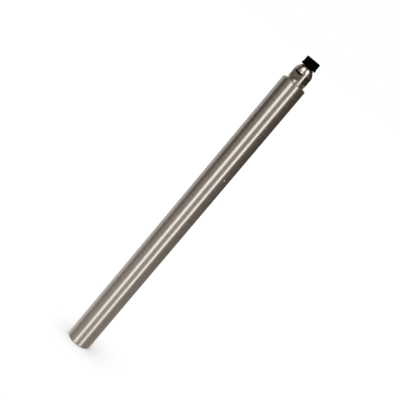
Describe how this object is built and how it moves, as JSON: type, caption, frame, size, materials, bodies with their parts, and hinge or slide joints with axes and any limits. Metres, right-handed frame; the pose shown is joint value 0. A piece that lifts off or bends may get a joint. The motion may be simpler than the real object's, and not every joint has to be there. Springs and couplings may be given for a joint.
{
  "type": "water quality probe",
  "caption": "Slim stainless downhole water quality probe with recessed sensor face, wrench flats, domed end cap and a black screw cap over its cable connector.",
  "frame": {"origin": "centre of the tube's bottom rim, where the probe stands", "axes": "+Z along the tube from the sensor end to the cable connector; +X and -Y are square to two of the four wrench flats"},
  "size_m": [0.0228, 0.0228, 0.313],
  "materials": {
    "tube_steel": "satin turned stainless",
    "bright_steel": "polished stainless",
    "spring_steel": "drawn spring steel",
    "nickel": "nickel plate",
    "gold": "gold plate",
    "cap_plastic": "matte moulded black",
    "black_plastic": "moulded black",
    "black_peek": "machined black polymer",
    "white_plastic": "natural nylon",
    "black_rubber": "smooth nitrile",
    "red_rubber": "silicone",
    "graphite": "lapped graphite",
    "ceramic": "fired alumina",
    "window": "dark optical window",
    "thermistor_glass": "glass bead",
    "circuit_board": "green solder mask",
    "chip": "moulded epoxy",
    "cell_wrap": "heat-shrink wrap",
    "wire_red": "PVC insulation",
    "wire_black": "PVC insulation",
    "wire_white": "PVC insulation",
    "wire_green": "PVC insulation"
  },
  "bodies": {
    "housing": {"body_tube": "tube_steel", "leak_test_port_plug": "nickel", "sensor_head": "black_peek", "sensor_head_o_ring_1": "black_rubber", "sensor_head_o_ring_2": "black_rubber", "sensor_head_circlip": "spring_steel", "conductivity_electrode_1": "graphite", "conductivity_electrode_2": "graphite", "conductivity_electrode_3": "graphite", "conductivity_electrode_4": "graphite", "temperature_sheath": "bright_steel", "thermistor": "thermistor_glass", "optical_window": "window", "optical_emitter": "white_plastic", "optics_board": "circuit_board", "pressure_port_disc": "black_plastic", "pressure_cell_o_ring": "black_rubber", "pressure_cell": "ceramic", "sensor_board_spacer": "white_plastic", "sensor_board": "circuit_board", "analog_converter_chip": "chip", "board_header": "black_plastic", "electronics_chassis": "white_plastic", "main_board": "circuit_board", "processor_chip": "chip", "memory_chip": "chip", "clock_crystal": "nickel", "filter_inductor": "chip", "supply_capacitor": "nickel", "chassis_screw_1": "bright_steel", "chassis_screw_2": "bright_steel", "desiccant_pack": "white_plastic", "battery_sleeve": "black_plastic", "battery_contact_lower": "nickel", "battery_spring": "spring_steel", "battery_cell_1": "cell_wrap", "battery_cell_2": "cell_wrap", "battery_contact_upper": "nickel", "harness_socket": "white_plastic", "harness_wire_red": "wire_red", "harness_wire_black": "wire_black", "harness_wire_white": "wire_white", "harness_wire_green": "wire_green"},
    "end_cap_seals": {"end_cap_o_ring_1": "black_rubber", "end_cap_o_ring_2": "black_rubber"},
    "end_cap": {"top_end_cap": "tube_steel", "connector_shell": "black_plastic", "contact_pin_1": "gold", "contact_pin_2": "gold", "contact_pin_3": "gold", "contact_pin_4": "gold", "connector_o_ring": "red_rubber", "connector_ring_nut": "nickel"},
    "protective_cap_seal": {"protective_cap_gasket": "black_rubber"},
    "protective_cap_body": {"protective_cap": "cap_plastic"}
  },
  "joints": [
    {"name": "end_cap_lift", "type": "slide", "parent": "housing", "child": "end_cap_seals", "axis": [0, 0, 1], "range_m": [0, 0.009]},
    {"name": "end_cap_unscrew", "type": "hinge", "parent": "end_cap_seals", "child": "end_cap", "pos_m": [0, 0, 0.29], "axis": [0, 0, 1], "range_deg": [0, 2162]},
    {"name": "protective_cap_lift", "type": "slide", "parent": "end_cap", "child": "protective_cap_seal", "axis": [0, 0, 1], "range_m": [0, 0.006]},
    {"name": "protective_cap_unscrew", "type": "hinge", "parent": "protective_cap_seal", "child": "protective_cap_body", "pos_m": [0, 0, 0.309], "axis": [0, 0, 1], "range_deg": [0, 1442]}
  ],
  "couplings": [
    {"joint": "end_cap_unscrew", "follows": "end_cap_lift", "rad_per_m": 4188.8},
    {"joint": "protective_cap_unscrew", "follows": "protective_cap_lift", "rad_per_m": 4188.8}
  ]
}
